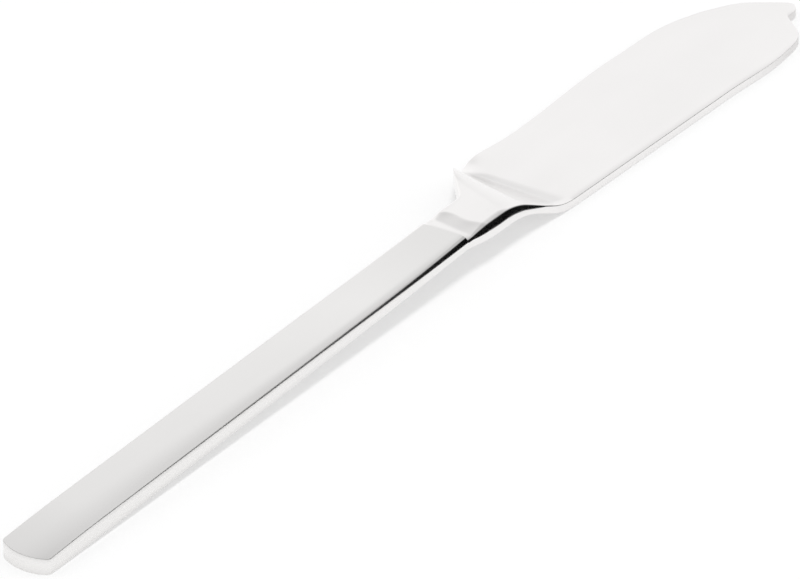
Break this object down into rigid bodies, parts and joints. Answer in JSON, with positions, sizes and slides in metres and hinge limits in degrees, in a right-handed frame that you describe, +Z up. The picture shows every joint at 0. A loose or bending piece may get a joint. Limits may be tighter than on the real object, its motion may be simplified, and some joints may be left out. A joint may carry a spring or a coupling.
{
  "type": "fish knife",
  "caption": "Table fish knife with a slim hollow handle, a cranked neck and a broad flat blade with a hooked, notched tip, for lifting fish off the bone.",
  "frame": {"origin": "on the table plane, under the middle of the knife's overall box", "axes": "+X from the butt of the handle to the tip, +Y from the back of the blade to its belly edge, +Z up from the table"},
  "size_m": [0.21, 0.0218, 0.0067],
  "materials": {
    "blade_steel": "polished stainless steel",
    "upper_shell_steel": "polished stainless steel",
    "lower_shell_steel": "polished stainless steel",
    "handle_cement": "matt cast cement"
  },
  "bodies": {
    "root": {"blade": "blade_steel", "handle_upper_shell": "upper_shell_steel", "handle_lower_shell": "lower_shell_steel", "handle_filler": "handle_cement"}
  },
  "joints": []
}
